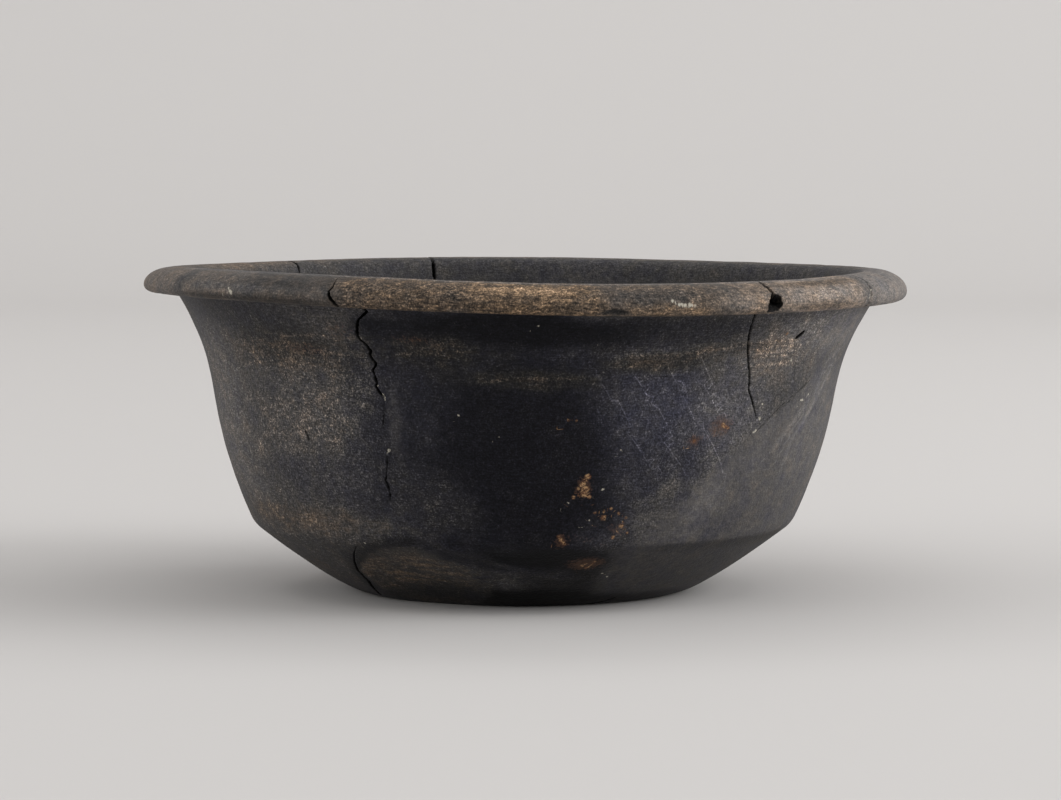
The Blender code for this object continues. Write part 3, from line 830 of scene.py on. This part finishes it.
# Scratches, worn bands, pale wipes and the mend's dark line: points of (angle, height)
LINES = {
    "scratch_line": (
        ((-65.4, 63.2), (-59.1, 50.2)), ((-59.7, 65.9), (-52, 49.9)), ((-71.2, 61.2), (-67.2, 53.2)),
        ((-71.2, 46.3), (-65.8, 36.7)), ((-66.1, 39.9), (-64.2, 36.6)), ((-65.7, 46), (-59.2, 36.3)),
        ((-68.5, 58), (-62.5, 44.5)), ((-74, 55.5), (-70.5, 47)), ((-57.5, 58), (-54.2, 51.5)),
        ((-63, 60.5), (-60.8, 56.5)), ((-56.8, 47.5), (-50.5, 36.5)), ((-78, 62), (-74.5, 54)),
    ),
    "band_line": (
        ((-74.7, 66.6), (-60.1, 67), (-50.1, 68.3), (-44, 68.9)), ((-76.2, 63.3), (-67, 64.1), (-62, 64.9)),
        ((-49, 68.8), (-37.3, 68.6)), ((-48.4, 62.7), (-37.8, 62.7)), ((-47, 66.2), (-38.5, 66)),
        ((-97.5, 59.4), (-90.7, 60.7), (-84.1, 60.5), (-77.4, 61.3)), ((-129, 65), (-122.5, 65.3)),
        ((-148, 60.2), (-139, 62.2)), ((-112.5, 65.4), (-104, 66)), ((-134, 68.5), (-124, 69.2)),
    ),
    "wipe_line": (
        ((-19.3, 64.4), (-23.4, 62.1), (-25, 56.6), (-25.8, 52)),
        ((-19.9, 58.8), (-32.1, 42.2), (-32.7, 36.6)), ((-30.5, 50), (-38, 40.5)),
        ((-96.4, 13.4), (-87.7, 10.8), (-80.5, 8.5)),
        ((-106.3, 18.6), (-101.8, 16.9), (-95.7, 14.4), (-87.3, 11.8), (-78, 10.3)),
    ),
    "join_line": (
        ((-30.1, 57.1), (-31.9, 55.6), (-35.4, 53.7), (-38.5, 51.3), (-40.9, 48.7), (-43.6, 45.9)),
        ((-67.6, 61.1), (-60.9, 60.4)),
    ),
}
for name, lines in LINES.items():
    marks[name] = signed_to(lines)

# Specks of rust, and small pale grains: (angle, height, size)
RUST = wall_route(
    (-78.3, 36, 0.9), (-79.1, 34.3, 0.8), (-78.4, 32.9, 1), (-78.8, 31.6, 0.9), (-77.7, 30.9, 0.6),
    (-80.6, 30.9, 0.6), (-79.9, 33, 0.5), (-74.6, 25.4, 0.9), (-76.3, 26.8, 0.5), (-73.2, 27.8, 0.45),
    (-71.6, 26.4, 0.5), (-70.6, 23.2, 0.8), (-72, 20.3, 0.6), (-82.3, 19.8, 0.7), (-82.9, 20.9, 0.5),
    (-81.7, 18.8, 0.5), (-70, 25.2, 0.5), (-69.2, 21.4, 0.4), (-74.6, 27, 0.45), (-75.2, 11.6, 0.6),
    (-76.6, 12.4, 0.5), (-74, 13.4, 0.5), (-82.2, 50.3, 0.6), (-80.9, 50.2, 0.35), (-52.6, 47.8, 0.8),
    (-51.2, 47, 0.5), (-58.4, 44.2, 0.7), (-42.3, 70.8, 0.6),
)
GRAINS = wall_route(
    (-75.2, 32.7, 0.45), (-70.5, 9.8, 0.45), (-77.2, 24.9, 0.35), (-81.5, 29.3, 0.4), (-115.5, 57.7, 0.4),
    (-114.7, 55.5, 0.3), (-114.4, 54.8, 0.45), (-114.4, 54.2, 0.3), (-114.3, 42, 0.35),
    (-114.5, 41.5, 0.35), (-114.8, 41, 0.35), (-123.6, 17.9, 0.4), (-72.6, 42.6, 0.4), (-75.4, 32.6, 0.35),
    (-68.8, 8.9, 0.35), (-110.8, 6.4, 0.35), (-43.6, 48.9, 0.8), (-44.6, 45.4, 0.7), (-44, 45.9, 0.5),
    (-38.1, 63.5, 0.6), (-43.6, 52.6, 0.4), (-28.7, 53.7, 0.5), (-29.6, 53.6, 0.6), (-29.6, 52.3, 0.5),
    (-31.4, 52.7, 0.4), (-101.1, 51.2, 0.3), (-87.9, 73.9, 0.3), (-94.2, 46, 0.3),
) + roll_route(
    (-69.3, 80.4, 0.7), (-68.4, 79.6, 0.7), (-67.6, 79.3, 0.9), (-66.8, 79.4, 0.8), (-66, 79.2, 0.6),
    (-136, 79.1, 1.1), (-136.6, 79.9, 0.6), (-29.4, 80.9, 0.6), (-30.2, 79.3, 0.8), (-30.6, 78.4, 0.6),
    (-29.9, 80.1, 0.5),
)
mark_spots("rust", RUST)
mark_spots("dot", GRAINS)

# The relief moves each point along the section's normal, and the foot stays flat
across = np.interp(place, RUN, NORMAL_R)
upwards = np.interp(place, RUN, NORMAL_Z)
raised = np.where(place < 0.5, np.minimum(raised, 0), raised)
points = placed(radius + across * raised, np.radians(angle), height + upwards * raised) * MM
points = np.clip(points, np.array(cad_low) + BOX_MARGIN, np.array(cad_high) - BOX_MARGIN)
points[:, 2] = np.where(place < 0, np.maximum(points[:, 2], 0), points[:, 2])
mesh.vertices.foreach_set("co", points.astype(np.float32).ravel())
for name, values in marks.items():
    layer = mesh.attributes.new(name, "FLOAT", "POINT")
    layer.data.foreach_set("value", values.astype(np.float32))


# The map: strips of (low and high place, first and last angle, bottom and top in the map)
STRIPS = (
    (0, V_UNDER, -180, 0, 0, 0.29), (0, V_UNDER, 0, 180, 0.29, 0.503),
    (V_UNDER, V_CREST, -180, 0, 0.503, 0.588), (V_UNDER, V_CREST, 0, 180, 0.588, 0.673),
    (V_CREST, V_FLOOR, -180, 180, 0.673, 0.858),
)
# Discs for the underside and the floor: (low and high place, middle across and up, radius)
DISCS = ((-2 * FOOT_RADIUS, 0, 0.071, 0.929, FOOT_RADIUS), (V_FLOOR, 2 * V_END, 0.213, 0.929, 40))

# A disc's radius in the map, and the margin round each strip
MAP_DISC = 0.066
MAP_EDGE = 0.003


def unwrap(mesh):
    """Lays the surface out flat for the bake, face by face."""
    corners = np.zeros(len(mesh.loops), int)
    mesh.loops.foreach_get("vertex_index", corners)
    sizes = np.zeros(len(mesh.polygons), int)
    mesh.polygons.foreach_get("loop_total", sizes)
    face = np.repeat(np.arange(len(sizes)), sizes)

    def middle(values):
        return np.bincount(face, weights=values[corners]) / sizes

    face_place = middle(place)[face]
    face_angle = np.degrees(np.arctan2(middle(spots[:, 1]), middle(spots[:, 0])))[face]
    turned = face_angle + gap(angle[corners], face_angle)
    across_map, up_map = np.zeros(len(corners)), np.zeros(len(corners))
    for low, high, first, last, bottom, top in STRIPS:
        chosen = (face_place >= low) & (face_place < high) & (face_angle >= first) & (face_angle < last)
        share = (turned[chosen] - first) / (last - first)
        across_map[chosen] = MAP_EDGE + share * (1 - 2 * MAP_EDGE)
        share = (place[corners][chosen] - low) / (high - low)
        up_map[chosen] = bottom + MAP_EDGE + share * (top - bottom - 2 * MAP_EDGE)
    for low, high, middle_across, middle_up, reach in DISCS:
        chosen = (face_place >= low) & (face_place < high)
        across_map[chosen] = middle_across + spots[corners][chosen, 0] / reach * MAP_DISC
        up_map[chosen] = middle_up + spots[corners][chosen, 1] / reach * MAP_DISC
    made = mesh.uv_layers.new(name="OFBake")
    made.data.foreach_set("uv", np.stack([across_map, up_map], 1).astype(np.float32).ravel())


def add(name, data):
    """A new object in the scene."""
    made = bpy.data.objects.new(name, data)
    bpy.context.scene.collection.objects.link(made)
    return made


unwrap(mesh)
mesh.shade_smooth()
mesh.update()
bowl = add("bowl_surface", mesh)


# The material's tones, as linear colour
COOL = (0.88, 0.89, 1.27, 1)
GREY = (1.05, 0.99, 0.96, 1)
TAN = (1.42, 0.97, 0.61, 1)
RUST_STAIN = (0.085, 0.045, 0.028, 1)
RUST_BROWN = (0.13, 0.062, 0.034, 1)
RUST_GOLD = (0.40, 0.25, 0.13, 1)
CRUMB_TONE = (0.36, 0.32, 0.26, 1)
GRAIN_TONE = (0.46, 0.43, 0.36, 1)
JOIN_TONE = (0.006, 0.006, 0.007, 1)
# The next two are painted shade, near black, for the insides of the cracks and the chip
CRACK_SHADE = (0.0012, 0.0012, 0.0012, 1)
PIT_SHADE = (0.0010, 0.0010, 0.0010, 1)
PIT_CLAY = (0.016, 0.013, 0.011, 1)

# Reflectance at lightness 0, and how many times more there is at lightness 1
DARKEST = 0.006
TONE_RANGE = 30.0

SCRATCH_SLANT = -23.0
BUMP_DISTANCE = 0.00022
SPECULAR = 0.1


def clay_material():
    material = bpy.data.materials.new("smoked_clay")
    material.use_nodes = True
    tree = material.node_tree
    shader = tree.nodes["Principled BSDF"]

    def put(kind, values=None, output=0, **settings):
        """One of the outputs of a new node with these inputs and settings."""
        made = tree.nodes.new("ShaderNode" + kind)
        for name, value in settings.items():
            setattr(made, name, value)
        for name, value in (values or {}).items():
            if isinstance(value, bpy.types.NodeSocket):
                tree.links.new(value, made.inputs[name])
            else:
                made.inputs[name].default_value = value
        return made.outputs[output]

    def noise(vector, scale, detail, rough):
        values = {"Vector": vector, "Scale": scale, "Detail": detail, "Roughness": rough}
        return put("TexNoise", values)

    def ranged(value, low, high, out_low=0, out_high=1):
        """Carries low to high over to out_low to out_high, and holds the value between them."""
        values = {"Value": value, "From Min": low, "From Max": high, "To Min": out_low, "To Max": out_high}
        return put("MapRange", values)

    def calc(operation, a, b=0):
        return put("Math", {0: a, 1: b}, operation=operation)

    def times(a, b):
        return calc("MULTIPLY", a, b)

    def total(*values):
        result = values[0]
        for value in values[1:]:
            result = calc("ADD", result, value)
        return result

    def plus(value, mask, strength):
        return total(value, times(mask, strength))

    def about(value, size):
        """A noise moved to lie about 0."""
        return times(calc("SUBTRACT", value, 0.5), size)

    def pressed(value, power):
        """Lifts the middle of a mark from 0 to 1, so that its edge is crisp."""
        return calc("SUBTRACT", 1, calc("POWER", calc("SUBTRACT", 1, value), power))

    def blend(a, b, share):
        return put("Mix", {0: share, 6: a, 7: b}, 2, data_type="RGBA")

    def mark(name):
        return put("Attribute", output="Fac", attribute_name=name)

    def pair(across, along):
        return put("CombineXYZ", {"X": mark(across), "Y": mark(along)})

    coords = put("TexCoord", output="Object")

    def stretched(x, y, z, source=coords):
        return put("Mapping", {"Vector": source, "Scale": (x, y, z)})

    # Noises from coarse to fine, then two drawn out round the bowl
    mottle = noise(coords, 170, 4, 0.62)
    lumps = noise(coords, 520, 2, 0.6)
    grain = noise(coords, 1100, 2, 0.65)
    fine = noise(coords, 2300, 1, 0.6)
    layers = noise(stretched(1, 1, 7), 130, 4, 0.6)
    wiped = noise(stretched(1, 1, 12), 420, 2, 0.6)
    skin = calc("SUBTRACT", 1, mark("fill"))
    warmth = total(mark("warmth"), about(mottle, 0.7), about(lumps, 0.35))
    flat = pair("across", "along")

    def line(name, half, uneven_by=0.5):
        """1 on the lines of this mark, 0 off them."""
        far = calc("ABSOLUTE", total(mark(name), about(grain, uneven_by), about(lumps, uneven_by)))
        return ranged(far, 0.4 * half, 1.5 * half, 1, 0)

    def specks(name, size, soft):
        """1 on the specks of these marks, 0 off them."""
        offset = pair(name + "_across", name + "_along")
        far = put("VectorMath", {0: offset}, "Value", operation="LENGTH")
        edge = total(far, about(grain, 1), about(fine, 0.6), times(mark(name + "_size"), -size))
        return ranged(edge, -soft, 0.1, 1, 0)

    # Burnishing marks and grain, quieter on the smooth fill of the mend
    value = total(
        mark("lightness"), about(mottle, 0.26), about(lumps, 0.24),
        times(
            total(about(grain, 0.52), about(fine, 0.74), about(wiped, 0.55)),
            ranged(skin, 0, 1, 0.42, 1),
        ),
    )

    # Brown bands worn along the wall, and the streaked scar of the flake
    streaks = times(ranged(total(layers, about(lumps, 0.5)), 0.4, 0.66), mark("streak"))
    value = plus(value, streaks, 0.16)
    warmth = plus(warmth, streaks, 0.35)
    broken = ranged(total(about(fine, 1), about(grain, 0.8)), -0.1, 0.14)
    bands = times(line("band_line", 0.45), broken)
    value = plus(value, bands, 0.17)
    warmth = plus(warmth, bands, 0.15)

    # Pale grains, in clusters
    grains = ranged(total(about(fine, 1), about(mottle, 0.4), times(mark("speckle"), 0.13)), 0.15, 0.38)
    grains = times(grains, ranged(skin, 0, 1, 0.25, 1))
    value = plus(value, grains, 0.22)
    warmth = plus(warmth, grains, 0.12)

    # Threads of wear, like fine crazing, where the skin is speckled
    ridges = calc("ABSOLUTE", about(noise(coords, 430, 3, 0.6), 2))
    threads = ranged(ridges, 0.01, 0.09, 1, 0)
    threads = times(threads, ranged(total(mark("speckle"), about(mottle, 1.6)), 0.35, 0.95))
    value = plus(value, threads, 0.17)
    warmth = plus(warmth, threads, 0.15)

    # Coarser, crumbling wear on the rim, drawn out round it
    flaky = noise(stretched(1, 1, 4), 430, 4, 0.7)
    crumbled = ranged(total(about(flaky, 1.6), about(grain, 0.4), about(fine, 0.5)), -0.24, 0.24, -0.2, 0.2)
    value = plus(value, crumbled, mark("worn"))
    warmth = plus(warmth, crumbled, times(mark("worn"), 0.7))

    # Slanting scratches: long single ones, and a haze of fine ones
    slant = {"Vector": flat, "Angle": math.radians(SCRATCH_SLANT)}
    slanted = put("VectorRotate", slant, rotation_type="Z_AXIS")
    haze = noise(stretched(1, 0.06, 1, slanted), 1.1, 2, 0.55)
    haze = times(ranged(haze, 0.55, 0.72), mark("scratch"))
    drawn = times(line("scratch_line", 0.15, 0.14), ranged(total(grain, about(lumps, 0.6)), 0.24, 0.44))
    scratches = calc("MAXIMUM", times(haze, 0.45), drawn)
    value = plus(value, scratches, 0.24)

    # Pale wipes
    value = plus(value, line("wipe_line", 0.9, 1.2), 0.09)

    # The tone: lightness on a log scale, tinted from blue-black through grey to tan
    tint = blend(blend(COOL, GREY, ranged(warmth, 0, 0.5)), TAN, ranged(warmth, 0.5, 1.2))
    level = times(calc("POWER", TONE_RANGE, value), DARKEST)
    color = put("VectorMath", {0: tint, "Scale": level}, operation="SCALE")

    # Rust, as faint stains with stronger specks
    rusty = ranged(total(mark("rust"), about(grain, 1), about(fine, 0.5)), 0.3, 0.62)
    color = blend(color, RUST_STAIN, times(rusty, 0.65))
    rust_specks = specks("rust", 0.9, 0.3)
    golden = blend(RUST_BROWN, RUST_GOLD, ranged(total(lumps, about(fine, 0.9)), 0.4, 0.66))
    color = blend(color, golden, times(rust_specks, ranged(fine, 0.38, 0.5, 0.35, 1)))

    # Pale crumbs and single grains
    crumbs = ranged(total(times(mark("crumbs"), 0.4), about(grain, 1.2), about(mottle, 0.8)), 0.4, 0.6)
    color = blend(color, CRUMB_TONE, times(crumbs, 0.85))
    color = blend(color, GRAIN_TONE, times(specks("dot", 0.53, 0.15), 0.88))

    # Dark join lines, then the chip and the cracks, made near black with painted shade, the chip with some
    # of its clay grains
    joins = times(line("join_line", 0.22), ranged(total(grain, about(mottle, 1)), 0.38, 0.6))
    color = blend(color, JOIN_TONE, times(joins, 0.75))
    pit = pressed(mark("chip"), 5)
    pit_shade_and_clay = blend(PIT_SHADE, PIT_CLAY, ranged(total(grain, about(fine, 0.8)), 0.55, 0.72))
    color = blend(color, pit_shade_and_clay, pit)
    color = blend(color, CRACK_SHADE, times(pressed(mark("recess_shade"), 3), calc("SUBTRACT", 1, pit)))
    tree.links.new(color, shader.inputs["Base Color"])

    matte = ranged(value, 0.2, 0.8)
    rough = total(ranged(matte, 0, 1, 0.46, 0.66), about(mottle, 0.12))
    tree.links.new(rough, shader.inputs["Roughness"])
    relief = total(
        times(grain, ranged(matte, 0, 1, 0.35, 1)), times(lumps, 0.6), times(fine, 0.35),
        times(scratches, -0.5), times(layers, 0.5), times(joins, -0.8),
    )
    bump = put("Bump", {"Strength": 0.7, "Distance": BUMP_DISTANCE, "Height": relief})
    tree.links.new(bump, shader.inputs["Normal"])
    shader.inputs["Specular IOR Level"].default_value = SPECULAR
    return material


bowl.data.materials.append(clay_material())
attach(bowl, "root")
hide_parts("bowl")

# The stage, in metres
FLOOR_FRONT = -3.0
FLOOR_BACK = 1.6
SWEEP_RADIUS = 0.9
SWEEP_STEPS = 24
BACKDROP_TOP = 4.0
HALF_WIDTH = 4.0
PAPER_TONE = (0.60, 0.585, 0.575, 1)
PAPER_ROUGHNESS = 0.9


def sweep():
    """A pale floor that curves up into a backdrop."""
    profile = [(FLOOR_FRONT, 0.0), (FLOOR_BACK, 0.0)]
    for a in np.radians(np.linspace(-90, 0, SWEEP_STEPS)[1:]):
        profile.append((FLOOR_BACK + SWEEP_RADIUS * math.cos(a), SWEEP_RADIUS + SWEEP_RADIUS * math.sin(a)))
    profile.append((FLOOR_BACK + SWEEP_RADIUS, BACKDROP_TOP))
    build = bmesh.new()
    sides = [[build.verts.new((x, y, z)) for y, z in profile] for x in (-HALF_WIDTH, HALF_WIDTH)]
    for k in range(len(profile) - 1):
        build.faces.new((sides[0][k], sides[1][k], sides[1][k + 1], sides[0][k + 1]))
    made = bpy.data.meshes.new("sweep")
    build.to_mesh(made)
    build.free()
    made.shade_smooth()
    paper = bpy.data.materials.new("paper")
    paper.use_nodes = True
    shader = paper.node_tree.nodes["Principled BSDF"]
    values = {"Base Color": PAPER_TONE, "Roughness": PAPER_ROUGHNESS, "Specular IOR Level": SPECULAR}
    for name, value in values.items():
        shader.inputs[name].default_value = value
    made.materials.append(paper)
    return add("sweep", made)


sweep()

# Lights: (name, place, aim, width and height, power)
SOFTBOXES = (
    ("right", (2.2, 0.3, 0.9), (0, 0.1, 0.1), (2.2, 1.7), 26),
    ("right_near", (1.6, -0.5, 0.85), (0, 0, 0.05), (1.2, 1.2), 14),
    ("left", (-2.2, 0.1, 0.9), (0, 0.1, 0.1), (2.2, 1.7), 12),
    ("left_near", (-1.4, -0.8, 0.6), (0, 0, 0.08), (0.6, 1), 2.5),
    ("back", (0, 1.3, 2), (0, 1.6, 0.2), (3, 1.2), 11),
    ("front", (0, -1.2, 1.8), (0, 0, 0), (1.4, 1), 3),
)
for name, location, aim, size, power in SOFTBOXES:
    light = bpy.data.lights.new(name + "_softbox", "AREA")
    light.shape = "RECTANGLE"
    light.size, light.size_y = size
    light.energy = power
    box = add(light.name, light)
    box.location = location
    box.rotation_euler = (Vector(aim) - Vector(location)).to_track_quat("-Z", "Y").to_euler()

WORLD_TONE = (0.80, 0.79, 0.78, 1)
WORLD_STRENGTH = 0.72
world = bpy.data.worlds.new("studio")
world.use_nodes = True
background = world.node_tree.nodes["Background"]
background.inputs["Color"].default_value = WORLD_TONE
background.inputs["Strength"].default_value = WORLD_STRENGTH
bpy.context.scene.world = world
bpy.context.scene.view_settings.view_transform = "Standard"

# The camera, at the photo's viewing angle
CAMERA_PLACE = (0.00136, -0.9686, 0.1186)
CAMERA_TILT = 4.103
CAMERA_LENS = 125.5
camera = bpy.data.cameras.new("camera")
camera.sensor_width = 36
camera.lens = CAMERA_LENS
camera.clip_end = 20
view = add("camera", camera)
view.location = CAMERA_PLACE
view.rotation_euler = (math.radians(90 - CAMERA_TILT), 0, 0)
bpy.context.scene.camera = view
